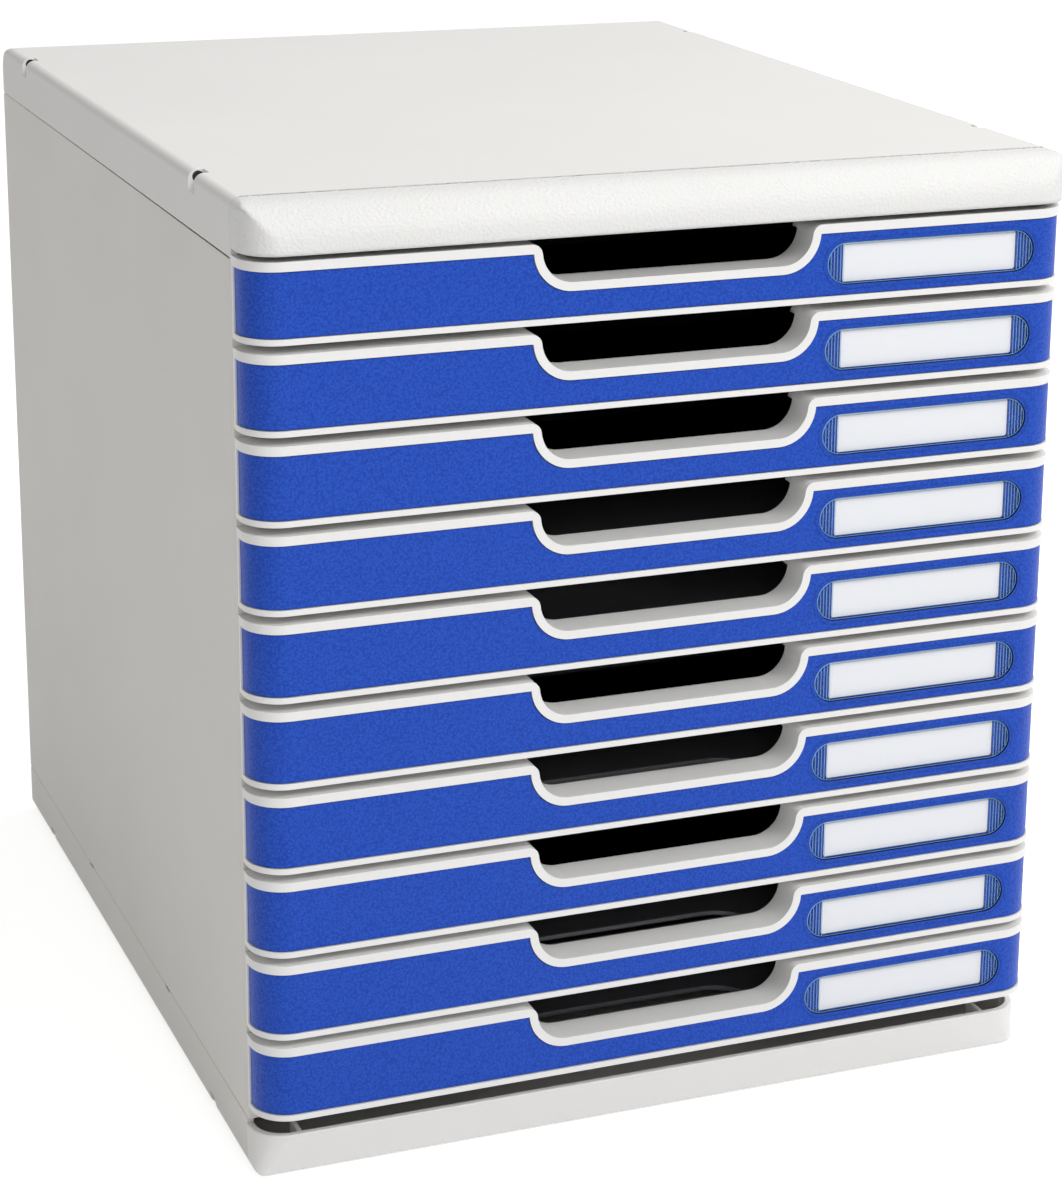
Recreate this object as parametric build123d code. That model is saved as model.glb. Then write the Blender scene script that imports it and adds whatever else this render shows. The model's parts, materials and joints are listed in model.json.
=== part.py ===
from build123d import *
from math import acos, degrees, radians, sin
import os

os.makedirs("parts", exist_ok=True)

# Desktop drawer unit: a light grey housing with ten shallow drawers behind blue fronts.
# Millimetres. X runs across the front, Y from front to back and Z up.
# The origin is under the middle of the whole unit, on the surface that it stands on.

# Housing
overall_width = 278.0
housing_depth = 332.5
housing_wall = 2.5
cover_height = 18.6
cover_edge_radius = 3.2
cover_rear_radius = 10.0
base_height = 18.0
base_edge_radius = 4.0
seam_chamfer = 0.4
back_thickness = 2.4
back_inset = 0.3
back_field_margin = 18.0
back_field_depth = 0.8

# Rubber feet
foot_proud = 0.8
foot_size = 14.0
foot_corner_cut = 2.0
foot_recess = 1.0
foot_gap = 0.2
foot_inset = 24.0

# Stack of drawers
drawer_count = 10
drawer_pitch = 28.13
front_gap = 2.78
stack_lift = 5.1
panel_spare = 1.0

# Drawer front moulding
front_depth = 15.5
front_corner_radius = 12.0
seat_gap = 0.5
top_rim = 3.0
bottom_rim = 1.9
side_rim = 1.8
plate_pocket_depth = 3.1
front_wall = 1.6
lip_depth = 12.0
lip_wall = 2.2
front_rib = 1.4
front_rib_spacing = 40.0

# Finger cut-out in the top of each front
cutout_centre = 0.0
cutout_flat = 70.8
plate_notch_depth = 12.3
plate_notch_radius = 13.0
plate_notch_ease = 0.6
cutout_rim = 2.8

# Blue front plate
plate_recess = 0.5
plate_seat_gap = 0.1
plate_edge_gap = 0.2

# Label window and card
window_centre = 88.3
window_length = 74.1
window_height = 13.5
window_recess = 0.4
window_thickness = 1.1
window_gap = 0.15
window_seat_gap = 0.05
card_length = 62.2
card_height = 12.5
card_thickness = 0.35
card_gap = 0.1

# Drawer tray
tray_wall = 1.8
tray_floor = 1.8
tray_top_gap = 0.15
tray_rear_gap = 6.0
tray_corner_cut = 4.0
tray_flange_thickness = 1.5
tray_cutout_gap = 0.4
thumb_width = 86.0
thumb_depth = 24.0
thumb_radius = 14.0
ear_reach = 3.7
ear_length = 6.0
drawer_travel = 260.0
stop_gap = 0.5

# Runners inside the side panels
return_reach = 7.5
return_thickness = 2.0
groove_setback = 2.2
groove_width = 0.3
groove_depth = 0.3
rail_width = 10.0
rail_thickness = 1.6
rail_end_gap = 6.0
rail_side_gap = 0.7
runner_gap = 0.3
flange_side_gap = 0.7

# Cover nose above the drawers
nose_lead = 1.5
nose_drop = 15.4
nose_bow_radius = 13.5
nose_corner_radius = 12.0
bead_height = 0.3
bead_width = 0.9

# Base fascia below the drawers
fascia_setback = 4.5
fascia_height = 15.7
fascia_corner_radius = 12.0
fascia_lean = 5.3
fascia_foot_corner = 3.5
fascia_joint_setback = 2.2
fascia_rib_drop = 0.8
fascia_rib = 1.6
fascia_rib_inset = 15.0

# Stacking clip pockets in the long edges, and the snap slots of the base
clip_front_setback = 44.5
clip_rear_setback = 41.0
clip_width = 7.0
clip_depth_across = 5.0
clip_depth_down = 6.5
clip_corner_cut = 2.0
clip_wall = 1.4
clip_hole = 3.0
base_clip_depth = 1.5
base_clip_height = 5.3
snap_length = 6.0
snap_height = 1.0
snap_front_setback = 104.5
snap_rear_setback = 111.0

# Places that follow from the sizes
half_width = overall_width / 2
overall_depth = nose_lead + front_depth + seat_gap + housing_depth
nose_front_y = -overall_depth / 2
front_y = nose_front_y + nose_lead
front_rear_y = front_y + front_depth
panel_front_y = front_rear_y + seat_gap
back_y = overall_depth / 2
base_top_z = foot_proud + base_height
panel_height = drawer_count * drawer_pitch + panel_spare
cover_bottom_z = base_top_z + panel_height
cover_top_z = cover_bottom_z + cover_height
overall_height = cover_top_z + bead_height
front_height = drawer_pitch - front_gap
lowest_front_z = base_top_z + stack_lift
inner_half = half_width - housing_wall
back_inner_y = back_y - back_inset - back_thickness

# Places inside one drawer, measured from the bottom of its front
plate_bottom = bottom_rim
plate_top = front_height - top_rim
plate_middle = (plate_bottom + plate_top) / 2
cutout_bottom = plate_top - plate_notch_depth + cutout_rim
cutout_hollow = plate_notch_radius - cutout_rim
cutout_shoulder = plate_notch_ease + cutout_rim
cutout_radii = cutout_hollow + cutout_shoulder
cutout_sweep = degrees(acos(1 - (front_height - cutout_bottom) / cutout_radii))
cutout_run = cutout_radii * sin(radians(cutout_sweep))
cutout_half = cutout_flat / 2 + cutout_run
window_bed_y = front_y + plate_recess + window_recess + window_thickness + window_seat_gap
lip_rear_y = front_y + lip_depth
rail_inner = inner_half - rail_width
tray_half = rail_inner - rail_side_gap
return_inner = half_width - return_reach
flange_half = return_inner - flange_side_gap
tray_rear_y = back_inner_y - tray_rear_gap
tray_top = plate_top - tray_top_gap
rail_top = tray_top - tray_flange_thickness - runner_gap
ear_front_y = panel_front_y + return_thickness + drawer_travel + stop_gap

# Working allowances: how far a cutter reaches past a face, how far joined forms sink into each
# other, how near an edge must lie to a face to be picked, and a reach beyond the whole unit
overshoot = 1.0
overlap = 0.5
near = 0.01
far = overall_depth + overall_width + overall_height


def block(x_low, x_high, y_low, y_high, z_low, z_high):
    """Straight-sided solid between two corners."""
    size = Box(x_high - x_low, y_high - y_low, z_high - z_low)
    return Pos((x_low + x_high) / 2, (y_low + y_high) / 2, (z_low + z_high) / 2) * size


def rectangle(x_low, x_high, y_low, y_high):
    """Flat rectangle between two corners of its sketch plane."""
    return Pos((x_low + x_high) / 2, (y_low + y_high) / 2) * Rectangle(x_high - x_low, y_high - y_low)


def low_corners(sketch):
    """The two corners of a sketch that lie lowest in it."""
    return sketch.vertices().sort_by(Axis.Y)[:2]


def high_corners(sketch):
    """The two corners of a sketch that lie highest in it."""
    return sketch.vertices().sort_by(Axis.Y)[-2:]


def bow_plan(half, y_low, y_high, radius):
    """Plan outline whose two front corners are rounded."""
    plan = rectangle(-half, half, y_low, y_high)
    return fillet(low_corners(plan), radius)


def raise_plan(plan, z_low, z_high):
    """Extrude a plan outline between two heights."""
    return Pos(0, 0, z_low) * extrude(plan, z_high - z_low)


def push_section(section, y_low, y_high):
    """Extrude an XZ section from one depth to another."""
    return Pos(0, y_high, 0) * extrude(Plane.XZ * section, y_high - y_low)


def push_profile(profile):
    """Extrude a YZ profile across the whole unit."""
    return Pos(-half_width, 0, 0) * extrude(Plane.YZ * profile, overall_width)


def front_bow(offset, y_high):
    """Plan of a drawer front, drawn in from its outer face by an offset."""
    return bow_plan(half_width - offset, front_y + offset, y_high, front_corner_radius - offset)


def cutout_section(offset):
    """Finger cut-out in the front view, widened all round by an offset.

    Each side is a hollow arc that runs smoothly into a round shoulder at the top.
    """
    flat = cutout_flat / 2
    low_z = cutout_bottom - offset
    hollow_middle = (flat, cutout_bottom + cutout_hollow)
    shoulder_middle = (cutout_half, front_height - cutout_shoulder)
    side = CenterArc(hollow_middle, cutout_hollow + offset, -90, cutout_sweep)
    side += CenterArc(shoulder_middle, cutout_shoulder - offset, 90, cutout_sweep)
    side += Line((cutout_half, front_height - offset), (cutout_half, far))
    outline = Line((-flat, low_z), (flat, low_z)) + side + mirror(side, Plane.YZ)
    outline += Line((-cutout_half, far), (cutout_half, far))
    return Pos(cutout_centre, 0) * make_face(outline)


def notch_section(offset):
    """Notch of the blue plate: the cut-out widened by an offset, with sharp shoulders."""
    flat = cutout_flat / 2
    low_z = cutout_bottom - offset
    hollow = CenterArc((flat, cutout_bottom + cutout_hollow), cutout_hollow + offset, -90, cutout_sweep)
    rise = hollow % 1
    climb = front_height - (hollow @ 1).Y
    shoulder = ((hollow @ 1).X + climb * rise.X / rise.Y, front_height)
    side = hollow + Polyline(hollow @ 1, shoulder, (shoulder[0], far))
    outline = Line((-flat, low_z), (flat, low_z)) + side + mirror(side, Plane.YZ)
    outline += Line((-shoulder[0], far), (shoulder[0], far))
    return Pos(cutout_centre, 0) * make_face(outline)


def stadium(length, height):
    """Slot outline with round ends, centred on the label window."""
    return Pos(window_centre, plate_middle) * SlotOverall(length, height)


# Drawer front: wrap-round moulding with a pocket for the plate, a finger lip and ribs behind
def make_front():
    """Light grey front moulding of one drawer."""
    face = rectangle(-half_width, half_width, 0, front_height)
    face -= cutout_section(0)
    body = push_section(face, front_y, front_rear_y) & raise_plan(front_bow(0, front_rear_y), 0, front_height)
    pocket = front_bow(-overshoot, front_rear_y - side_rim) - front_bow(plate_pocket_depth, front_rear_y)
    pocket = raise_plan(pocket, plate_bottom, plate_top)
    pocket -= push_section(notch_section(cutout_rim), front_y - 2 * overshoot, front_rear_y)
    body -= pocket

    hollow_front = front_y + plate_pocket_depth + front_wall
    hollow_half = half_width - front_corner_radius
    hollow = block(-hollow_half, hollow_half, hollow_front, front_rear_y + overshoot, plate_bottom, plate_top)
    lip_half = cutout_half + lip_wall
    keep = block(
        cutout_centre - lip_half,
        cutout_centre + lip_half,
        hollow_front - overlap,
        lip_rear_y,
        cutout_bottom - lip_wall,
        plate_top,
    )
    for side in (-1, 1):
        x = cutout_centre + side * (lip_half + front_rib_spacing)
        while abs(x) < hollow_half - front_rib_spacing / 2:
            keep += block(
                x - front_rib / 2,
                x + front_rib / 2,
                hollow_front - overlap,
                lip_rear_y,
                plate_bottom,
                plate_top,
            )
            x += side * front_rib_spacing
    return body - (hollow - keep)


# Blue plate: a bent plate that lies in the pocket of the front, with a round-ended recess for the window
def make_plate():
    """Blue plate of one drawer front."""
    rear = front_rear_y - side_rim - plate_edge_gap
    sheet = front_bow(plate_recess, rear) - front_bow(plate_pocket_depth - plate_seat_gap, rear)
    plate = raise_plan(sheet, plate_bottom + plate_edge_gap, plate_top - plate_edge_gap)
    plate -= push_section(notch_section(cutout_rim + plate_edge_gap), front_y - overshoot, front_rear_y)
    recess = stadium(window_length + 2 * window_gap, window_height + 2 * window_gap)
    plate -= push_section(recess, front_y - overshoot, window_bed_y)
    plate -= block(
        window_centre - card_length / 2 - card_gap,
        window_centre + card_length / 2 + card_gap,
        window_bed_y - overlap,
        window_bed_y + card_thickness + card_gap,
        plate_middle - card_height / 2 - card_gap,
        plate_middle + card_height / 2 + card_gap,
    )
    return plate


def make_window():
    """Clear round-ended label window, set a little below the face of the plate."""
    outline = stadium(window_length, window_height)
    rear_y = window_bed_y - window_seat_gap
    return push_section(outline, rear_y - window_thickness, rear_y)


def make_card():
    """Paper label card in its bed behind the window."""
    return block(
        window_centre - card_length / 2,
        window_centre + card_length / 2,
        window_bed_y + card_gap / 2,
        window_bed_y + card_gap / 2 + card_thickness,
        plate_middle - card_height / 2,
        plate_middle + card_height / 2,
    )


# Tray: open box that hangs by its side flanges on the rails
def make_tray():
    """Charcoal tray of one drawer."""
    outline = rectangle(-tray_half, tray_half, lip_rear_y, tray_rear_y)
    outline = chamfer(high_corners(outline), tray_corner_cut)
    inside = offset(outline, -tray_wall, kind=Kind.INTERSECTION)
    tray = raise_plan(outline, plate_bottom, tray_top)
    flange = rectangle(-flange_half, flange_half, front_rear_y, tray_rear_y - tray_corner_cut)
    ear_half = flange_half + ear_reach
    flange += rectangle(-ear_half, ear_half, ear_front_y, ear_front_y + ear_length)
    tray += raise_plan(flange, tray_top - tray_flange_thickness, tray_top)
    tray -= raise_plan(inside, plate_bottom + tray_floor, tray_top + overshoot)
    notch_half = cutout_half + tray_cutout_gap
    tray -= block(
        cutout_centre - notch_half,
        cutout_centre + notch_half,
        lip_rear_y - overshoot,
        lip_rear_y + tray_wall + overlap,
        cutout_bottom - tray_cutout_gap,
        tray_top + overshoot,
    )
    thumb_front = lip_rear_y + tray_wall
    thumb = rectangle(
        cutout_centre - thumb_width / 2,
        cutout_centre + thumb_width / 2,
        thumb_front,
        thumb_front + thumb_depth,
    )
    thumb = fillet(high_corners(thumb), thumb_radius)
    tray -= raise_plan(thumb, 0, plate_bottom + tray_floor + overshoot)
    return tray


# Housing
def clip_places():
    """Depths of the stacking clip pockets."""
    return [panel_front_y + clip_front_setback, back_y - clip_rear_setback]


def clip_section(spare):
    """Section of a clip pocket in the right long edge of the cover, widened by a spare."""
    x_low = half_width - clip_depth_across - spare
    z_low = cover_top_z - clip_depth_down - spare
    outline = Polyline(
        (x_low, far),
        (x_low, z_low + clip_corner_cut),
        (x_low + clip_corner_cut, z_low),
        (far, z_low),
        (far, far),
        close=True,
    )
    return make_face(outline)


def cover_body(inset, y_low):
    """Body of the cover, drawn in by an inset: rounded along its sides and more along its rear edge."""
    section = rectangle(-half_width + inset, half_width - inset, cover_bottom_z - inset, cover_top_z - inset)
    section = fillet(high_corners(section), cover_edge_radius - inset)
    profile = rectangle(y_low, back_y - inset, cover_bottom_z - inset, cover_top_z - inset)
    upper_rear = profile.vertices().sort_by(Axis.X)[-2:].sort_by(Axis.Y)[-1]
    profile = fillet(upper_rear, cover_rear_radius - inset)
    return push_section(section, y_low, back_y) & push_profile(profile)


def make_cover():
    """Top cover with rounded edges, skirts, a rear wall and four clip pockets."""
    outer = cover_body(0, panel_front_y)
    seam_edges = [
        edge
        for edge in outer.edges().filter_by(Axis.Y)
        if abs(edge.center().Z - cover_bottom_z) < near
    ]
    cover = chamfer(seam_edges, seam_chamfer) - cover_body(housing_wall, panel_front_y - overshoot)
    hole_x = half_width - (clip_depth_across + clip_corner_cut) / 2
    for y in clip_places():
        half_pocket = clip_width / 2 + clip_wall
        pocket_wall = push_section(clip_section(clip_wall), y - half_pocket, y + half_pocket)
        pocket_wall &= outer
        pocket = push_section(clip_section(0), y - clip_width / 2, y + clip_width / 2)
        hole = block(
            hole_x - clip_hole / 2,
            hole_x + clip_hole / 2,
            y - clip_hole / 2,
            y + clip_hole / 2,
            cover_bottom_z,
            cover_top_z,
        )
        cover += pocket_wall + mirror(pocket_wall, Plane.YZ)
        cover -= pocket + mirror(pocket, Plane.YZ)
        cover -= hole + mirror(hole, Plane.YZ)
    return cover


def nose_body(offset):
    """Nose of the cover, drawn in from its outer face by an offset."""
    section = rectangle(
        -half_width + offset,
        half_width - offset,
        cover_top_z - nose_drop - offset,
        cover_top_z - offset,
    )
    section = fillet(high_corners(section), cover_edge_radius - offset)
    plan = bow_plan(
        half_width - offset,
        nose_front_y + offset,
        panel_front_y + offset,
        nose_corner_radius - offset,
    )
    profile = rectangle(
        nose_front_y + offset,
        panel_front_y + offset,
        cover_top_z - nose_drop - offset,
        cover_top_z - offset,
    )
    upper_front = profile.vertices().sort_by(Axis.X)[:2].sort_by(Axis.Y)[-1]
    profile = fillet(upper_front, nose_bow_radius - offset)
    across = push_profile(profile)
    along = push_section(section, nose_front_y - overshoot, panel_front_y + housing_wall)
    upright = raise_plan(plan, cover_top_z - nose_drop - housing_wall, cover_top_z + overshoot)
    return across & upright & along


def make_cover_nose():
    """Front nose of the cover: a bowed visor, hollow below, with a fine bead at its joint."""
    nose = nose_body(0) - nose_body(housing_wall)
    flat = half_width - cover_edge_radius
    bead = rectangle(-flat, flat, cover_top_z - overlap, cover_top_z + bead_height)
    nose += push_section(bead, panel_front_y - bead_width, panel_front_y)
    return nose


def base_section():
    """Section across the base, rounded along its two lower edges."""
    outer = rectangle(-half_width, half_width, foot_proud, base_top_z)
    return fillet(low_corners(outer), base_edge_radius)


def make_base():
    """Base tray: floor, two side walls and a rear wall, open at the top and front."""
    joint_y = panel_front_y + fascia_joint_setback
    base = push_section(base_section(), joint_y, back_y)
    seam_edges = [
        edge
        for edge in base.edges().filter_by(Axis.Y)
        if abs(edge.center().Z - base_top_z) < near
    ]
    base = chamfer(seam_edges, seam_chamfer)
    base -= block(
        -inner_half,
        inner_half,
        joint_y - overshoot,
        back_y - housing_wall,
        foot_proud + housing_wall,
        base_top_z + overshoot,
    )
    for outline in foot_outlines(foot_gap):
        base -= raise_plan(outline, foot_proud - overshoot, foot_proud + foot_recess)
    for side in (-1, 1):
        for y in clip_places():
            x_in = side * (half_width - base_clip_depth)
            x_out = side * (half_width + overshoot)
            base -= block(
                min(x_in, x_out),
                max(x_in, x_out),
                y - clip_width / 2,
                y + clip_width / 2,
                foot_proud - overshoot,
                foot_proud + base_clip_height,
            )
        for y in (panel_front_y + snap_front_setback, back_y - snap_rear_setback):
            x_in = side * (inner_half - overshoot)
            x_out = side * (half_width + overshoot)
            base -= block(
                min(x_in, x_out),
                max(x_in, x_out),
                y - snap_length / 2,
                y + snap_length / 2,
                base_top_z - snap_height,
                base_top_z + overshoot,
            )
    return base


def foot_outlines(spare):
    """Outlines of the four rubber feet, squares with cut corners, widened all round by a spare."""
    side = foot_size + 2 * spare
    outline = Rectangle(side, side)
    outline = chamfer(outline.vertices(), foot_corner_cut)
    x = half_width - foot_inset
    return [
        Pos(sign * x, y) * outline
        for sign in (-1, 1)
        for y in (panel_front_y + foot_inset, back_y - foot_inset)
    ]


def make_feet():
    """Four square rubber pads, pressed into the recesses of the base."""
    pads = [raise_plan(outline, 0, foot_proud + foot_recess) for outline in foot_outlines(0)]
    return Compound(children=pads)


def fascia_body(inset, y_high):
    """Body of the fascia, drawn in by an inset.

    Towards the floor its face leans back and its corners grow tighter.
    """
    y_low = front_y + fascia_setback + inset
    top_plan = bow_plan(half_width - inset, y_low, y_high, fascia_corner_radius - inset)
    foot_plan = bow_plan(half_width - inset, y_low + fascia_lean, y_high, fascia_foot_corner - inset)
    lower = Pos(0, 0, foot_proud) * foot_plan
    upper = Pos(0, 0, foot_proud + fascia_height) * top_plan
    return loft([lower, upper], ruled=True)


def make_base_fascia():
    """Bowed front of the base, open at the top, with two inner ribs."""
    joint_y = panel_front_y + fascia_joint_setback
    top_z = foot_proud + fascia_height
    fascia = fascia_body(0, joint_y) & push_section(base_section(), front_y, joint_y)
    hollow = fascia_body(housing_wall, joint_y + overshoot)
    hollow &= block(-half_width, half_width, front_y, back_y, foot_proud + housing_wall, top_z + overshoot)
    fascia -= hollow
    for side in (-1, 1):
        x = side * (half_width - fascia_rib_inset)
        rib = block(
            x - fascia_rib / 2,
            x + fascia_rib / 2,
            front_y,
            joint_y,
            foot_proud,
            top_z - fascia_rib_drop,
        )
        fascia += rib & fascia_body(housing_wall / 2, joint_y)
    return fascia


def make_side(side):
    """Side panel with a fine groove near its front edge, a front return and one rail for each drawer."""
    wall = block(inner_half, half_width, panel_front_y, back_y, base_top_z, cover_bottom_z)
    seam_edges = [
        edge
        for edge in wall.edges().filter_by(Axis.Y)
        if edge.center().X > half_width - near
    ]
    wall = chamfer(seam_edges, seam_chamfer)
    wall -= block(
        half_width - groove_depth,
        half_width + overshoot,
        panel_front_y + groove_setback,
        panel_front_y + groove_setback + groove_width,
        base_top_z - overshoot,
        cover_bottom_z + overshoot,
    )
    front_return = block(
        return_inner,
        inner_half + overlap,
        panel_front_y,
        panel_front_y + return_thickness,
        base_top_z,
        cover_bottom_z,
    )
    panel = wall + front_return
    rail_front_y = panel_front_y + return_thickness + rail_end_gap
    rail_rear_y = back_inner_y - rail_end_gap
    section = Polyline(
        (rail_inner, 0),
        (inner_half + overlap, 0),
        (inner_half + overlap, -2 * rail_thickness),
        (inner_half, -2 * rail_thickness),
        (rail_inner, -rail_thickness),
        close=True,
    )
    rail = push_section(make_face(section), rail_front_y, rail_rear_y)
    for index in range(drawer_count):
        panel += Pos(0, 0, lowest_front_z + index * drawer_pitch + rail_top) * rail
    if side < 0:
        panel = mirror(panel, Plane.YZ)
    return panel


def make_back_panel():
    """Back panel between the side panels, with a shallow raised border."""
    y_high = back_y - back_inset
    panel = block(-inner_half, inner_half, back_inner_y, y_high, base_top_z, cover_bottom_z)
    panel -= block(
        -inner_half + back_field_margin,
        inner_half - back_field_margin,
        y_high - back_field_depth,
        y_high + overshoot,
        base_top_z + back_field_margin,
        cover_bottom_z - back_field_margin,
    )
    return panel


# Write every piece
nodes = {
    "cover": make_cover(),
    "cover_nose": make_cover_nose(),
    "base": make_base(),
    "base_fascia": make_base_fascia(),
    "side_left": make_side(-1),
    "side_right": make_side(1),
    "back_panel": make_back_panel(),
    "feet": make_feet(),
}

drawer_pieces = {
    "tray": make_tray(),
    "front": make_front(),
    "plate": make_plate(),
    "window": make_window(),
    "card": make_card(),
}

# Drawer 1 is the top one
for number in range(1, drawer_count + 1):
    z = lowest_front_z + (drawer_count - number) * drawer_pitch
    for piece, shape in drawer_pieces.items():
        nodes[f"{piece}_{number:02d}"] = Pos(0, 0, z) * shape

for node, shape in nodes.items():
    export_step(shape, f"parts/{node}.step")

print("nodes", len(nodes))
print("size", overall_width, overall_depth, round(overall_height, 3))
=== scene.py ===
# %% [markdown]
# # A ten-drawer desk unit in moulded plastic
#
# The unit is a light grey housing with ten shallow drawers. Each drawer front is a pale moulding
# that carries a bent blue plate, and a clear window with a paper card sits in that plate.
# The solids come from a packed CAD part. They could be modelled again here, but then they might
# drift from the part, so this scene keeps them: it rounds their edges, gives every surface its own
# finish, and rebuilds only the small clear windows and the cards, where light makes the difference.

import json
import math

import bmesh
import bpy
from mathutils import Matrix, Vector

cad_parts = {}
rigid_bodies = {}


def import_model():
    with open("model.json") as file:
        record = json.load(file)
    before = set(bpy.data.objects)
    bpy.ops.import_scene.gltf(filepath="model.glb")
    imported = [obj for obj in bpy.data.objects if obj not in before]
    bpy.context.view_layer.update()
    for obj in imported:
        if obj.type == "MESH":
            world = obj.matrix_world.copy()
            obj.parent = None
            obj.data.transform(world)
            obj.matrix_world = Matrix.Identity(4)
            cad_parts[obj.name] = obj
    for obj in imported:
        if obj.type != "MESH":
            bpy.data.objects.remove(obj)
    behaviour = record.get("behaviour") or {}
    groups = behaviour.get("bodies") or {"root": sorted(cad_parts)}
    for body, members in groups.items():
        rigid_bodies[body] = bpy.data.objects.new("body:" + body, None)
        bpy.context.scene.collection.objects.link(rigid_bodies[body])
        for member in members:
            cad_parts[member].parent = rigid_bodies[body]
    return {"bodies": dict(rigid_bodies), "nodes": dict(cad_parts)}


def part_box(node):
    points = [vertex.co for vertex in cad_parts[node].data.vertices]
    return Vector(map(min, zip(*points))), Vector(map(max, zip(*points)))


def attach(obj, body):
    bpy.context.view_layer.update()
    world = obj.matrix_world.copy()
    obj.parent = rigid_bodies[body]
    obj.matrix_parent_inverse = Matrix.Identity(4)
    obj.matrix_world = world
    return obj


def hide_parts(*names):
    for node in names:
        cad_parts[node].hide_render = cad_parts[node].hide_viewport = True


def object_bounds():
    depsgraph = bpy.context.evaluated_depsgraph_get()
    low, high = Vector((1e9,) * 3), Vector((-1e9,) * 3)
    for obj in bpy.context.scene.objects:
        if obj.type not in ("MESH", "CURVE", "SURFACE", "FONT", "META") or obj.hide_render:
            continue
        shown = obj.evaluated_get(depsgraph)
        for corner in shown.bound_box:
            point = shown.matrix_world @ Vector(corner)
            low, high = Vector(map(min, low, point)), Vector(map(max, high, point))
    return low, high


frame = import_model()
cad_low, cad_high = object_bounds()
nodes = frame["nodes"]
drawers = sorted(body for body in frame["bodies"] if body.startswith("drawer_"))
print("nodes", len(nodes), "drawers", len(drawers))

# %% [markdown]
# ## Sizes
#
# On the real unit all ten drawers are alike and one pitch apart. Their places could be typed in
# again as numbers, but a later change of the part would leave them behind. So they are read from
# the packed part, and only sizes that it does not have, such as edge radii and the fine ribs of a
# window, are written in this file.

# %% Sizes
mm = 0.001
window_low, window_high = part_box("window_01")
card_low, card_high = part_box("card_01")
drawer_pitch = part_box("front_01")[0].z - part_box("front_02")[0].z
window_length = window_high.x - window_low.x
window_height = window_high.z - window_low.z
window_straight = (window_length - window_height) / 2
window_middle_x = (window_high.x + window_low.x) / 2
window_middle_z = (window_high.z + window_low.z) / 2
card_half = (card_high.x - card_low.x) / 2
print("drawer pitch in mm", round(drawer_pitch / mm, 2))

# %% [markdown]
# ## A small language for materials
#
# A finish is worked out from where a point lies on the piece. It could be clicked together as a
# list of nodes and links, but nobody can read such a list. `Wire` wraps one output socket of a
# node tree instead, so that a finish is written as arithmetic, and each sign adds its own node.


# %% Wires for shader maths
class Wire:
    """One output socket of a node tree. Arithmetic on it adds Math nodes."""

    def __init__(self, tree, socket=None):
        self.tree = tree
        self.socket = socket

    def node(self, kind, settings=None, sockets=None, output=0):
        """Add a node: its settings first, then its sockets, by name or number."""
        made = self.tree.nodes.new(kind)
        for name, value in (settings or {}).items():
            setattr(made, name, value)
        for name, value in (sockets or {}).items():
            self.feed(made.inputs[name], value)
        return Wire(self.tree, made.outputs[output])

    def feed(self, socket, value):
        """Link a wire to a socket, or set the socket's own value."""
        if isinstance(value, Wire):
            self.tree.links.new(value.socket, socket)
        else:
            socket.default_value = value

    def beside(self, *names):
        """Other outputs of the same node, by name."""
        outputs = self.socket.node.outputs
        return [Wire(self.tree, outputs[name]) for name in names]

    def math(self, operation, *values):
        return self.node("ShaderNodeMath", {"operation": operation}, dict(enumerate(values)))

    def __add__(self, other):
        return self.math("ADD", self, other)

    __radd__ = __add__

    def __mul__(self, other):
        return self.math("MULTIPLY", self, other)

    __rmul__ = __mul__

    def __sub__(self, other):
        return self.math("SUBTRACT", self, other)

    def __rsub__(self, other):
        return self.math("SUBTRACT", other, self)

    def __truediv__(self, other):
        return self.math("DIVIDE", self, other)

    def __rtruediv__(self, other):
        return self.math("DIVIDE", other, self)

    def __mod__(self, other):
        return self.math("FLOORED_MODULO", self, other)

    def __pow__(self, other):
        return self.math("POWER", self, other)

    def __abs__(self):
        return self.math("ABSOLUTE", self)

    def larger(self, other):
        return self.math("MAXIMUM", self, other)

    def smaller(self, other):
        return self.math("MINIMUM", self, other)


print("wire operations", [name for name in vars(Wire) if not name.startswith("__")])

# %% [markdown]
# Noise, cells, colour blends and soft steps are the words of that language. Painted pictures
# could carry the same patterns, but they have to be fitted to each piece and blur close up.
# Each word here is one node, so it stays cheap, and takes its size in metres, so that a grain of
# 0.7 mm is written as 0.7 mm.


# %% Patterns and blends
def noise(place, size, detail=2.0):
    """Cloudy noise from 0 to 1 whose lumps are about the given size in metres."""
    sockets = {"Vector": place, "Scale": 1 / size, "Detail": detail}
    return place.node("ShaderNodeTexNoise", sockets=sockets)


def cells(place, size):
    """Rounded cells of the given size, 0 in their middles and rising to their borders."""
    settings = {"feature": "SMOOTH_F1"}
    return place.node("ShaderNodeTexVoronoi", settings, {"Vector": place, "Scale": 1 / size})


def blend_colours(factor, first, second):
    """Colour between two others, each a fixed colour or a wire."""
    colour_a, colour_b, colour_out = 6, 7, 2
    ends = [end if isinstance(end, Wire) else (*end, 1.0) for end in (first, second)]
    sockets = {0: factor, colour_a: ends[0], colour_b: ends[1]}
    return factor.node("ShaderNodeMix", {"data_type": "RGBA"}, sockets, colour_out)


def shade(colour, share):
    """A fixed colour at a share of its strength."""
    return tuple(share * channel for channel in colour)


def step(value, low, high):
    """0 below low, 1 above high and smooth between."""
    settings = {"interpolation_type": "SMOOTHSTEP"}
    sockets = {"Value": value, "From Min": low, "From Max": high}
    return value.node("ShaderNodeMapRange", settings, sockets)


def line(value, middle, half_width):
    """1 in the middle of a thin band of a value, fading to 0 at the band's edges."""
    return 1 - step(abs(value - middle), half_width * 0.5, half_width)


def axes(place):
    """The three coordinates of a place as wires."""
    return place.node("ShaderNodeSeparateXYZ", sockets={"Vector": place}).beside("X", "Y", "Z")


print("pattern helpers", [word.__name__ for word in (noise, cells, blend_colours, step, line, axes)])

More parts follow.
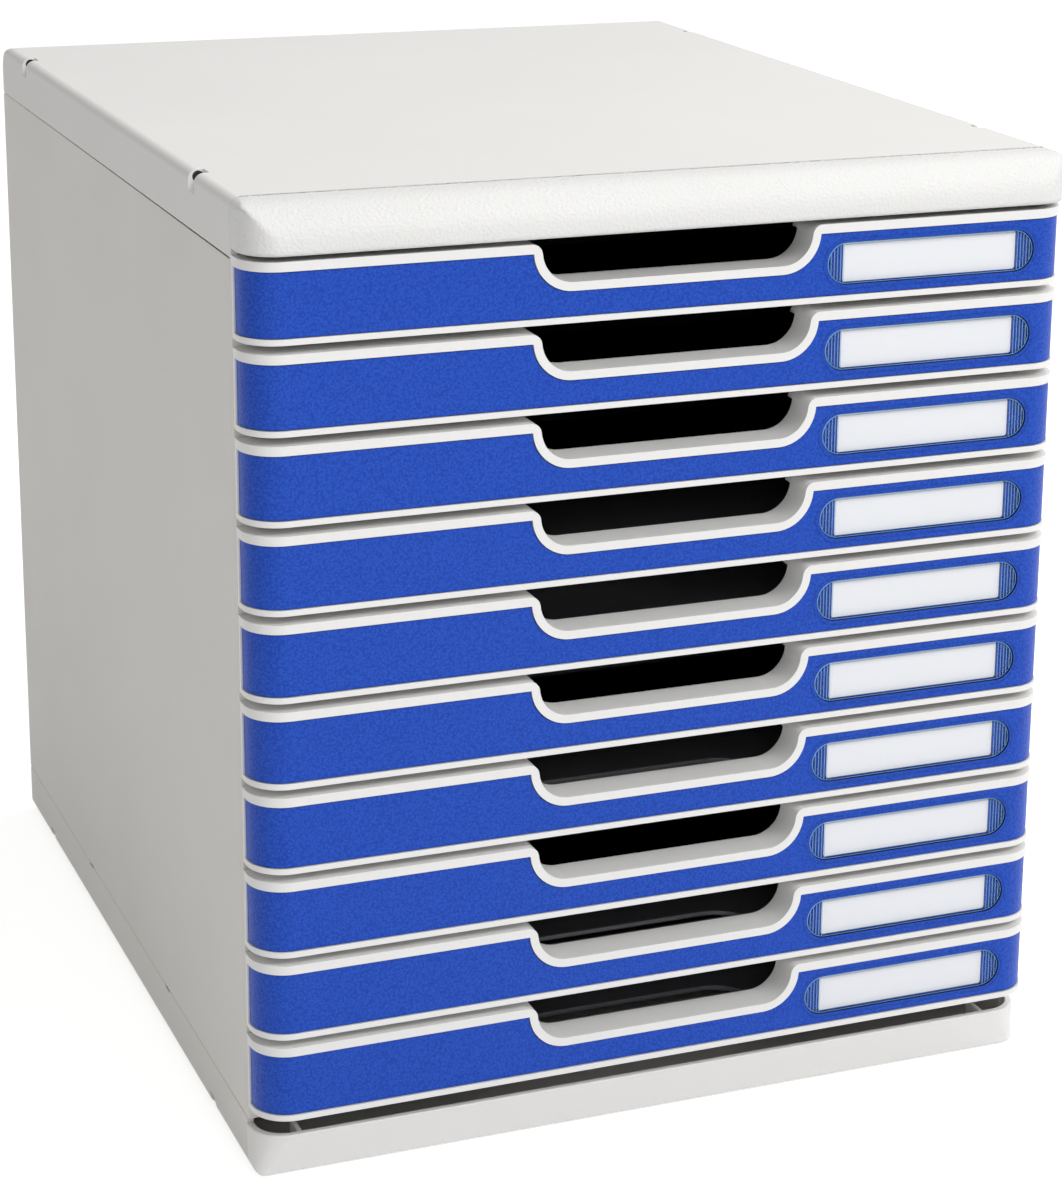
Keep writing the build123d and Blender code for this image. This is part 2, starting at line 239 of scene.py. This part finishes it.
# %% [markdown]
# Every finish starts and ends in the same way. A shader could be joined from single gloss and
# matt shaders, but the Principled shader already covers plastic, rubber, paper and clear sheet.
# So each material uses one: values that are the same all over are set on its own sockets, and
# what varies, the colour, the roughness and a bump, is linked to it last.

# %% The start and end of a material
bevel_samples = 8


def start_material(name, **shader_values):
    """A material with its Principled shader's fixed values set, and the place on the piece."""
    material = bpy.data.materials.new(name)
    material.use_nodes = True
    tree = material.node_tree
    shader = tree.nodes["Principled BSDF"]
    for socket, value in shader_values.items():
        shader.inputs[socket.replace("_", " ")].default_value = value
    place = Wire(tree).node("ShaderNodeTexCoord", output="Object")
    return material, shader, place


def finish_material(shader, place, colour, roughness, height, depth, rounding=0.0):
    """Plug colour, roughness and a bump into the shader. Depth and rounding are in metres."""
    place.feed(shader.inputs["Base Color"], colour)
    place.feed(shader.inputs["Roughness"], roughness)
    sockets = {"Height": height, "Distance": depth}
    if rounding > 0:
        settings = {"samples": bevel_samples}
        sockets["Normal"] = place.node("ShaderNodeBevel", settings, {"Radius": rounding})
    place.feed(shader.inputs["Normal"], place.node("ShaderNodeBump", sockets=sockets))


print("materials go from", start_material.__name__, "to", finish_material.__name__)

# %% [markdown]
# ## Finishes
#
# The housing is injection-moulded plastic from a finely spark-eroded mould, so its surface is matt
# and slightly sandy. The nose of the cover comes from a coarser mould than the flat panels, and its
# crease is soft. One flat colour would look like paper, and a picture of plastic would repeat.
# So colour and gloss vary a little with noise, as they do on handled plastic, and a shallow bump
# gives the sand. The crease is rounded by a Bevel node in the finish, because a bevel modifier
# stops short at the narrow facets beside it.

# %% Moulded plastics
matt_specular = 0.45
cloud_size = 60 * mm
cloud_detail = 3.0
cloud_share = 0.6
gloss_patch_size = 25 * mm
gloss_swing = 0.12
middle_grey = 0.5


def moulded_plastic(name, colour, roughness, grain, depth, mottle=0.03, rounding=0.0):
    """Matt plastic with a sandy mould grain, slightly cloudy in colour and gloss."""
    material, shader, place = start_material(name, Specular_IOR_Level=matt_specular)
    cloud = noise(place, cloud_size, cloud_detail)
    speck = noise(place, grain)
    mix = cloud * cloud_share + speck * (1 - cloud_share)
    tone = blend_colours(mix, shade(colour, 1 - 2 * mottle), colour)
    gloss = roughness + (noise(place, gloss_patch_size) - middle_grey) * gloss_swing
    finish_material(shader, place, tone, gloss, speck, depth, rounding)
    return material


panel_grey = moulded_plastic(
    "panel grey", (0.745, 0.722, 0.682), roughness=0.55, grain=0.7 * mm, depth=0.02 * mm
)
fascia_grey = moulded_plastic(
    "fascia grey", (0.80, 0.79, 0.775), roughness=0.5, grain=0.6 * mm, depth=0.01 * mm
)
nose_grey = moulded_plastic(
    "nose grey", (0.74, 0.735, 0.72), roughness=0.5, grain=1.0 * mm, depth=0.3 * mm, rounding=2.5 * mm
)
rim_white = moulded_plastic(
    "rim white", (0.785, 0.78, 0.765), roughness=0.38, grain=0.8 * mm, depth=0.008 * mm, mottle=0.015
)
tray_charcoal = moulded_plastic(
    "tray charcoal", (0.10, 0.10, 0.11), roughness=0.34, grain=1.0 * mm, depth=0.02 * mm
)
foot_rubber = moulded_plastic(
    "foot rubber", (0.03, 0.03, 0.03), roughness=0.8, grain=1.5 * mm, depth=0.04 * mm
)
plastics = (panel_grey, fascia_grey, nose_grey, rim_white, tray_charcoal, foot_rubber)
print("plastics", [material.name for material in plastics])

# %% [markdown]
# Four pockets in the long edges of the cover take stacking clips. A hole at the bottom of each
# pocket leads into the hollow cover, and it looks black because no light comes back out of it.
# Holes of this size could be cut in the solid, but they would add many faces for four dark dots.
# So that shade is painted: the material turns black inside a small ball round each hole. The balls
# are mirrored left and right by taking the distance from the middle plane.

# %% Cover with its clip holes
clip_hole_x = cad_high.x - 3.3 * mm
clip_hole_z = cad_high.z - 2.7 * mm
clip_hole_y = (-109.5 * mm, 137.5 * mm)
clip_hole_radius = 1.7 * mm
clip_hole_fade = 0.3 * mm
painted_hole_shade = (0.004, 0.004, 0.004)
cover_grain, cover_grain_depth = 0.7 * mm, 0.02 * mm
cover_cloud_shade = 0.95
cover_roughness, cover_roughness_swing = 0.5, 0.1


def cover_plastic(name, colour):
    """Panel plastic with painted black shade inside the four clip pockets."""
    material, shader, place = start_material(name, Specular_IOR_Level=matt_specular)
    x, y, z = axes(place)
    across = (abs(x) - clip_hole_x) ** 2.0 + (z - clip_hole_z) ** 2.0
    near_front, near_rear = ((across + (y - hole_y) ** 2.0) ** 0.5 for hole_y in clip_hole_y)
    nearest = near_front.smaller(near_rear)
    outside = step(nearest, clip_hole_radius, clip_hole_radius + clip_hole_fade)
    speck = noise(place, cover_grain)
    cloud = noise(place, cloud_size, cloud_detail)
    plain = blend_colours(cloud, shade(colour, cover_cloud_shade), colour)
    # Painted shade: black inside a small ball round each clip hole.
    tone = blend_colours(outside, painted_hole_shade, plain)
    gloss = cover_roughness + speck * cover_roughness_swing
    finish_material(shader, place, tone, gloss, speck, cover_grain_depth)
    return material


cover_grey = cover_plastic("cover grey", (0.775, 0.765, 0.745))
print("cover finish", cover_grey.name, "with clip holes", 2 * len(clip_hole_y))

# %% [markdown]
# The blue plate has a leather-like grain: rounded cells with fine noise on top. A low ridge runs
# round the label window, about a millimetre outside it. Ten modelled ridges would each need many
# thin faces, so the ridge is a bump: the distance to the window's round-ended outline says where it
# runs, and the height of the drawer is taken out first, so one formula serves all ten.
# The plate's rounded edge turns away into the gap beside the rim, where shade falls, so its colour is
# painted dark where it is steep, as painted shade.

# %% Blue plate
plate_specular = 0.25
bow_start = cad_high.x - 12 * mm
bow_fade = 2 * mm
grain_cell = 0.75 * mm
grain_speck = 0.5 * mm
cell_share = 0.5
glint_low, glint_high = 0.3, 0.6
plate_roughness = 0.44
plate_patch_size = 18 * mm
steep_start, steep_full = 0.3, 0.7
painted_gap_shade = (0.0, 0.008, 0.06)
ridge_spacing, ridge_half, ridge_share = 1.3 * mm, 0.35 * mm, 1.5
grain_depth = 0.22 * mm


def beyond_window(from_middle_x, from_middle_z):
    """Distance outwards from a window's round-ended outline, below 0 inside it."""
    along = (abs(from_middle_x) - window_straight).larger(0.0)
    return (along**2.0 + from_middle_z**2.0) ** 0.5 - window_height / 2


def ridge_round_window(place, spacing, half_width):
    """1 on a thin line that runs round each window at the given spacing, and 0 elsewhere."""
    x, _, z = axes(place)
    from_middle = (z - (window_middle_z - drawer_pitch / 2)) % drawer_pitch - drawer_pitch / 2
    return line(beyond_window(x - window_middle_x, from_middle), spacing, half_width)


def leather_plastic(name, colour, glint):
    """Saturated plastic with a leather-like grain, painted glints on its pebbles, painted shade on
    its steep edges and a ridge round the window.
    """
    material, shader, place = start_material(name, Specular_IOR_Level=plate_specular)
    grain = cells(place, grain_cell) * cell_share + noise(place, grain_speck) * (1 - cell_share)
    # Painted highlight: the pebbles of the grain take the lighter glint colour.
    grain_with_painted_glints = blend_colours(step(grain, glint_low, glint_high), glint, colour)
    facing_x, _, facing_z = axes(place.node("ShaderNodeNewGeometry", output="True Normal"))
    on_flat = 1 - step(abs(axes(place)[0]), bow_start - bow_fade, bow_start)
    tilt = ((facing_x * on_flat) ** 2.0 + facing_z**2.0) ** 0.5
    # Painted shade: the steep faces of the rounded edge get the dark gap colour.
    tone = blend_colours(step(tilt, steep_start, steep_full), grain_with_painted_glints, painted_gap_shade)
    gloss = plate_roughness + (noise(place, plate_patch_size) - middle_grey) * gloss_swing
    height = grain + ridge_share * ridge_round_window(place, ridge_spacing, ridge_half)
    finish_material(shader, place, tone, gloss, height, grain_depth)
    return material


# The second colour is the painted glint on the pebbles of the grain.
plate_blue = leather_plastic("plate blue", (0.002, 0.043, 0.36), (0.010, 0.079, 0.50))
print("plate finish", plate_blue.name, "grain in mm", round(grain_cell / mm, 2))

# %% [markdown]
# The window is clear plastic over the card. Light that enters the sheet leaves at its rim, so the
# rim is a pale line with a dark line inside it. The ribs at both ends act as small lenses that
# show pale and dark lines by turns, and past them the round end shows a dark crescent.
# Real refraction would need many light paths to show lines this fine. So the sheet is mostly
# see-through, and the lines are colour and opacity on its front face, where they really are.

# %% Window finish
rib_spacing = 1.1 * mm
face_from, face_to = 0.4 * mm, 0.6 * mm
rim_from, rim_to = 0.25 * mm, 0.4 * mm
dark_line_inset, dark_line_half, dark_line_strength = 0.6 * mm, 0.3 * mm, 0.45
pale_rib_place, pale_rib_half, pale_rib_strength = 0.25, 0.15, 0.6
dark_rib_place, dark_rib_half, dark_rib_strength = 0.65, 0.24, 0.8
crescent_from, crescent_to = card_half + 4.4 * mm, card_half + 5.2 * mm
crescent_lump, crescent_least = 1.6 * mm, 0.35
card_edge_fade = 0.2 * mm
line_edge = 0.15
line_dark, line_pale = (0.001, 0.014, 0.10), (0.30, 0.62, 0.95)
haze_size, haze_depth = 6 * mm, 0.01 * mm
haze_blue, haze_white = (0.86, 0.92, 0.96), (0.93, 0.96, 1.0)
sheet_opacity, dark_opacity, pale_opacity = 0.04, 0.6, 0.7
sheet_specular, sheet_roughness, sheet_roughness_swing = 0.3, 0.08, 0.05


def clear_window(name):
    """Clear sheet: mostly see-through, with painted pale and dark lines of light and shade at its rim
    and over its end ribs.
    """
    material, shader, place = start_material(name, Specular_IOR_Level=sheet_specular)
    x, y, z = axes(place)
    front_face = 1 - step(y, window_low.y + face_from, window_low.y + face_to)
    inwards = -1.0 * beyond_window(x, z)
    rim = 1 - step(inwards, rim_from, rim_to)
    dark_line = line(inwards, dark_line_inset, dark_line_half) * dark_line_strength
    past_card = step(abs(x) - card_half, 0.0, card_edge_fade)
    turn = (abs(x) - card_half) / rib_spacing % 1.0
    pale_rib = past_card * line(turn, pale_rib_place, pale_rib_half) * pale_rib_strength
    dark_rib = past_card * line(turn, dark_rib_place, dark_rib_half) * dark_rib_strength
    mottled = noise(place, crescent_lump) + crescent_least
    crescent = step(abs(x), crescent_from, crescent_to) * mottled
    pale = rim.larger(pale_rib)
    dark = dark_line.larger(dark_rib).larger(crescent)
    haze = noise(place, haze_size)
    face = blend_colours(haze, haze_blue, haze_white)
    # Painted highlights and painted shade: the pale and dark lines of the rim, the ribs and the
    # crescent.
    shaded = blend_colours(step(dark, 0.0, line_edge), face, line_dark)
    tone = blend_colours(step(pale, 0.0, line_edge), shaded, line_pale)
    lines = (dark * dark_opacity).larger(pale * pale_opacity)
    place.feed(shader.inputs["Alpha"], front_face * (sheet_opacity + lines))
    gloss = sheet_roughness + haze * sheet_roughness_swing
    finish_material(shader, place, tone, gloss, haze, haze_depth)
    return material


window_clear = clear_window("window clear")
print("window finish", window_clear.name, "rib spacing in mm", round(rib_spacing / mm, 2))

# %% [markdown]
# The card is smooth white paper. It could be plain white, but paper is never quite even, so faint
# fibres from a detailed noise vary its colour and its gloss.

# %% Card finish
paper_specular = 0.3
fibre_size, fibre_detail, fibre_depth = 0.8 * mm, 4.0, 0.01 * mm
fibre_shade = 0.965
paper_roughness, paper_roughness_swing = 0.62, 0.1


def paper(name, colour):
    """Smooth white card with faint fibres."""
    material, shader, place = start_material(name, Specular_IOR_Level=paper_specular)
    fibre = noise(place, fibre_size, fibre_detail)
    tone = blend_colours(fibre, shade(colour, fibre_shade), colour)
    gloss = paper_roughness + fibre * paper_roughness_swing
    finish_material(shader, place, tone, gloss, fibre, fibre_depth)
    return material


card_paper = paper("card paper", (0.79, 0.80, 0.825))
print("card finish", card_paper.name)

# %% [markdown]
# ## Rounded edges on the packed solids
#
# A mould cannot make a sharp edge, and the light line along a rounded edge is what makes plastic
# look moulded. The radii could be in the CAD solids, but there they cost thousands of faces.
# Modifiers do this without touching the packed mesh: doubled points are joined, flat faces merged,
# edges over a limit bevelled, and the shading is then weighted to the large faces.

# %% Soft edges
join_distance = 0.005 * mm
flat_limit = math.radians(1.0)
edge_limit = math.radians(35.0)
nose_limit = math.radians(20.0)
bevel_segments = 3
full_weight = 100


def smooth_shading_group():
    """A node group that only sets smooth shading."""
    group = bpy.data.node_groups.new("smooth shading", "GeometryNodeTree")
    group.interface.new_socket("Geometry", in_out="INPUT", socket_type="NodeSocketGeometry")
    group.interface.new_socket("Geometry", in_out="OUTPUT", socket_type="NodeSocketGeometry")
    start = group.nodes.new("NodeGroupInput")
    smooth = group.nodes.new("GeometryNodeSetShadeSmooth")
    end = group.nodes.new("NodeGroupOutput")
    group.links.new(start.outputs[0], smooth.inputs["Geometry"])
    group.links.new(smooth.outputs["Geometry"], end.inputs[0])
    return group


smooth_group = smooth_shading_group()


def soften(piece, radius, limit=edge_limit):
    """Round every edge of a piece that is sharper than a limit to a radius in metres."""
    join = piece.modifiers.new("join points", "WELD")
    join.merge_threshold = join_distance
    merge = piece.modifiers.new("merge flats", "DECIMATE")
    merge.decimate_type = "DISSOLVE"
    merge.angle_limit = flat_limit
    smooth = piece.modifiers.new("smooth shading", "NODES")
    smooth.node_group = smooth_group
    bevel = piece.modifiers.new("round edges", "BEVEL")
    bevel.width = radius
    bevel.segments = bevel_segments
    bevel.limit_method = "ANGLE"
    bevel.angle_limit = limit
    weighted = piece.modifiers.new("weighted shading", "WEIGHTED_NORMAL")
    weighted.weight = full_weight


def paint(piece, material):
    """Give every material slot of a piece the same finish."""
    for index in range(len(piece.material_slots)):
        piece.material_slots[index].material = material


print("edges sharper than", round(math.degrees(edge_limit)), "degrees are rounded")

# %% [markdown]
# Each moulding gets the finish and the edge radius of the real one. The thin side panels have the
# tightest edges, the drawer fronts, which fingers touch, the roundest. Two tables say this, one
# for the housing and one for the three solids that every drawer repeats, so no piece is forgotten.

# %% Dress the packed solids
housing_finish = {
    "cover": (cover_grey, 0.3 * mm),
    "cover_nose": (nose_grey, 1.8 * mm),
    "base": (panel_grey, 0.3 * mm),
    "base_fascia": (fascia_grey, 0.5 * mm),
    "side_left": (panel_grey, 0.12 * mm),
    "side_right": (panel_grey, 0.12 * mm),
    "back_panel": (panel_grey, 0.3 * mm),
    "feet": (foot_rubber, 0.4 * mm),
}
drawer_finish = {
    "front": (rim_white, 0.95 * mm),
    "plate": (plate_blue, 0.7 * mm),
    "tray": (tray_charcoal, 0.4 * mm),
}
for node, (material, radius) in housing_finish.items():
    paint(nodes[node], material)
    soften(nodes[node], radius, nose_limit if node == "cover_nose" else edge_limit)
for body in drawers:
    number = body[-2:]
    for piece, (material, radius) in drawer_finish.items():
        paint(nodes[f"{piece}_{number}"], material)
        soften(nodes[f"{piece}_{number}"], radius)
print("dressed", len(housing_finish) + len(drawers) * len(drawer_finish))

# %% [markdown]
# ## Label windows
#
# A window is one clear moulding: a round-ended sheet with a rounded rim. Fine upright ribs at both
# ends hide where the card stops. A scaled box with a bevel would not give its half-round ends.
# The sheet is built from stacked outlines, each drawn in a little further than the one before,
# which rounds the rim.

# %% Outlines and solids
end_steps = 14


def stadium_outline(length, height, inset):
    """Points of a round-ended outline, anticlockwise, drawn in by an inset."""
    radius = height / 2 - inset
    straight = (length - height) / 2
    points = []
    for side in (1, -1):
        for index in range(end_steps + 1):
            angle = math.pi * (index / end_steps - 0.5) + (0 if side > 0 else math.pi)
            points.append((side * straight + radius * math.cos(angle), radius * math.sin(angle)))
    return points


def stack_outlines(mesh, outlines):
    """Join outlines, each a list of points, into a closed solid."""
    rings = [[mesh.verts.new(point) for point in outline] for outline in outlines]
    count = len(rings[0])
    for lower, upper in zip(rings, rings[1:]):
        for index in range(count):
            after = (index + 1) % count
            face = mesh.faces.new((lower[index], lower[after], upper[after], upper[index]))
            face.smooth = True
    for ring in (rings[0][::-1], rings[-1]):
        mesh.faces.new(ring)


def mesh_data(mesh, name, material):
    """Turn a finished bmesh into mesh data with one finish."""
    mesh.normal_update()
    data = bpy.data.meshes.new(name)
    mesh.to_mesh(data)
    mesh.free()
    data.materials.append(material)
    return data


print("points in a round-ended outline", len(stadium_outline(window_length, window_height, 0.0)))

# %% [markdown]
# The ribs are part of the moulding, and their crests catch the light at the window's ends. A bump
# could fake them from the front, but not at a slant, so each is a ridge of two faces. A rib that
# would fall outside the round end is left out, and the others are as tall as the outline there.

# %% The window's mesh
rim_steps = 3
rim_radius = 0.35 * mm
rib_width = 0.3 * mm
rib_height = 0.16 * mm
rib_count = 5
first_rib = 0.25


def add_rib(mesh, x, z_half, y):
    """Thin upright ridge with a sharp crest on the face of a window."""
    corners = [(x - rib_width / 2, y), (x, y - rib_height), (x + rib_width / 2, y)]
    low, high = [[mesh.verts.new((cx, cy, z)) for cx, cy in corners] for z in (-z_half, z_half)]
    for index in range(len(corners) - 1):
        mesh.faces.new((low[index], low[index + 1], high[index + 1], high[index]))


def window_mesh():
    """Mesh of one label window, in the place of the top drawer's window."""
    mesh = bmesh.new()
    rear_y, face_y = window_high.y, window_low.y
    outlines = [(0.0, rear_y)]
    for index in range(rim_steps + 1):
        angle = math.radians(90 * index / rim_steps)
        inset = rim_radius * (1 - math.cos(angle))
        outlines.append((inset, face_y + rim_radius * (1 - math.sin(angle))))
    rings = [
        [(px, y, pz) for px, pz in stadium_outline(window_length, window_height, inset)]
        for inset, y in outlines
    ]
    stack_outlines(mesh, rings)
    reach = window_height / 2 - rim_radius
    for side in (-1, 1):
        for index in range(rib_count):
            x = card_half + (index + first_rib) * rib_spacing
            z_half = math.sqrt(max(reach**2 - max(x - window_straight, 0.0) ** 2, 0.0))
            if z_half > rib_spacing:
                add_rib(mesh, side * x, z_half - rim_radius, face_y)
    return mesh_data(mesh, "label_window", window_clear)


window_data = window_mesh()
print("window faces", len(window_data.polygons))

# %% [markdown]
# ## Cards
#
# The card is cut from stiff white paper with slightly rounded corners and lies in its own shallow
# bed in the plate, behind the window. A plane would do from the front, but it has no edge, and
# the edge shows through the clear sheet. So the card is an outline with round corners, twice,
# joined into a thin solid by the same helper that makes the window.

# %% Card pieces
card_corner = 0.8 * mm
corner_steps = 4


def card_mesh():
    """Mesh of one label card, in the place of the top drawer's card."""
    mesh = bmesh.new()
    half_x = card_half - card_corner
    half_z = (card_high.z - card_low.z) / 2 - card_corner
    outline = []
    for turn, (sx, sz) in enumerate(((1, 1), (-1, 1), (-1, -1), (1, -1))):
        for index in range(corner_steps + 1):
            angle = math.radians(90 * (turn + index / corner_steps))
            px = sx * half_x + card_corner * math.cos(angle)
            pz = sz * half_z + card_corner * math.sin(angle)
            outline.append((px, pz))
    rings = [[(px, y, pz) for px, pz in outline] for y in (card_high.y, card_low.y)]
    stack_outlines(mesh, rings)
    return mesh_data(mesh, "label_card", card_paper)


card_data = card_mesh()
print("card faces", len(card_data.polygons))

# %% [markdown]
# Every drawer has the same window and card. Ten copies of each mesh would be ten times the data,
# so ten objects share one mesh, and each stands where its own solid stands, rides on that drawer
# and takes the place of the plain solid.

# %% Place the windows and cards
label_meshes = {
    "window": (window_data, "window_clear"),
    "card": (card_data, "card_paper"),
}
for body in drawers:
    number = body[-2:]
    for piece, (data, slot) in label_meshes.items():
        node = f"{piece}_{number}"
        low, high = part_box(node)
        label = bpy.data.objects.new(f"label_{piece}_{number}", data)
        label.location = ((low.x + high.x) / 2, 0.0, (low.z + high.z) / 2)
        bpy.context.scene.collection.objects.link(label)
        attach(label, body)
        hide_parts(node)
print("label pieces", len(drawers) * len(label_meshes))

# %% [markdown]
# ## Floor and backdrop
#
# The unit stands on a white studio floor. A floor that is lit until it is white would need so much
# light that the pale plastic turns white as well. Instead the floor glows a little for the camera,
# so it reaches white and joins the backdrop, and still takes the soft shadow under the unit.
# Rays that gloss or clear plastic sends on see the same white, and the light on the unit does not
# change, because all other rays meet the plain room.

# %% Floor and backdrop
black, white = (0, 0, 0), (1, 1, 1)
floor_size = 12.0
floor_glow = 0.62
floor_grey = (0.9, 0.9, 0.9, 1.0)
room_light = 0.4


def shows_backdrop(anchor):
    """1 for the camera's own rays and for rays that gloss or clear plastic sends on, 0 for light."""
    path = anchor.node("ShaderNodeLightPath")
    camera_ray, *other_rays = path.beside("Is Camera Ray", "Is Glossy Ray", "Is Transmission Ray")
    for ray in other_rays:
        camera_ray = camera_ray.larger(ray)
    return camera_ray


def studio_floor(name, size, glow):
    """Wide floor that is white to the camera and still takes a shadow."""
    half = size / 2
    corners = [(-half, -half, 0), (half, -half, 0), (half, half, 0), (-half, half, 0)]
    data = bpy.data.meshes.new(name)
    data.from_pydata(corners, [], [range(len(corners))])
    floor = bpy.data.objects.new(name, data)
    bpy.context.scene.collection.objects.link(floor)
    material, shader, place = start_material(name, Roughness=0.9, Specular_IOR_Level=0.0)
    shader.inputs["Base Color"].default_value = floor_grey
    backdrop = blend_colours(shows_backdrop(place), black, white)
    place.feed(shader.inputs["Emission Color"], backdrop)
    shader.inputs["Emission Strength"].default_value = glow
    data.materials.append(material)
    return floor


studio_floor("studio_floor", floor_size, floor_glow)

world = bpy.data.worlds.new("studio")
bpy.context.scene.world = world
world.use_nodes = True
sky = world.node_tree.nodes["Background"]
room = Wire(world.node_tree)
room.feed(sky.inputs["Color"], blend_colours(shows_backdrop(room), (room_light,) * 3, white))
print("floor of", floor_size, "m, room light", room_light)

# %% [markdown]
# ## Lamps
#
# One large lamp stands in front and to the right, one hangs above, and a weak one near the camera
# reaches into the dark trays. The left side is lit mostly by the room. Sun or point lamps would
# throw hard shadows between the drawers, so all three are wide square lamps, as in a studio.


# %% Lamps
def softbox(name, place, aim, size, watts):
    """Square area lamp that points at a place."""
    data = bpy.data.lights.new(name, "AREA")
    data.size = size
    data.energy = watts
    lamp = bpy.data.objects.new(name, data)
    lamp.location = place
    lamp.rotation_mode = "QUATERNION"
    lamp.rotation_quaternion = (Vector(aim) - Vector(place)).to_track_quat("-Z", "Y")
    bpy.context.scene.collection.objects.link(lamp)
    return lamp


unit_middle = (0.0, -0.1, 0.17)
lamps = (
    softbox("front lamp", (0.8, -1.5, 1.6), unit_middle, size=0.8, watts=23.5),
    softbox("top lamp", (0.9, 0.1, 1.8), unit_middle, size=1.0, watts=11.0),
    softbox("fill lamp", (-0.45, -1.35, 0.6), unit_middle, size=0.5, watts=2.2),
)
print("lamps", [lamp.name for lamp in lamps])

# %% [markdown]
# ## Camera
#
# The camera stands a little over a metre away, to the left of the unit and above its top, with a
# long lens. It could be aimed by eye, but then no edge would fall where it should. Its place and
# lens were solved from the straight edges of the unit in the picture. A small part of the framing
# is lens shift, as on a studio camera, and the rest is tilt, because other views keep the shift.

# %% Camera
azimuth, elevation, roll = (math.radians(angle) for angle in (22.358, 15.472, 0.729))
lens_length = 92.953
sensor_width = 36.0
lens_shift = (-0.0667, -0.125)
camera_place = (-0.376955, -1.035528, 0.493405)

level = math.cos(elevation)
ahead = Vector((math.sin(azimuth) * level, math.cos(azimuth) * level, -math.sin(elevation)))
right = Vector((math.cos(azimuth), -math.sin(azimuth), 0.0))
up = right.cross(ahead)
side_axis = right * math.cos(roll) + up * math.sin(roll)
up_axis = up * math.cos(roll) - right * math.sin(roll)

camera_data = bpy.data.cameras.new("camera")
camera_data.lens = lens_length
camera_data.sensor_width = sensor_width
camera_data.shift_x, camera_data.shift_y = lens_shift
camera = bpy.data.objects.new("camera", camera_data)
turn = Matrix((side_axis, up_axis, -ahead)).transposed()
camera.matrix_world = Matrix.Translation(camera_place) @ turn.to_4x4()
bpy.context.scene.collection.objects.link(camera)
bpy.context.scene.camera = camera
bpy.context.scene.view_settings.view_transform = "Standard"
print("camera", round(Vector(camera_place).length, 3), "m from the foot of the unit")

# %% [markdown]
# ## Finish
#
# The dressed unit must be as large as the packed part, because others will place it by that size.
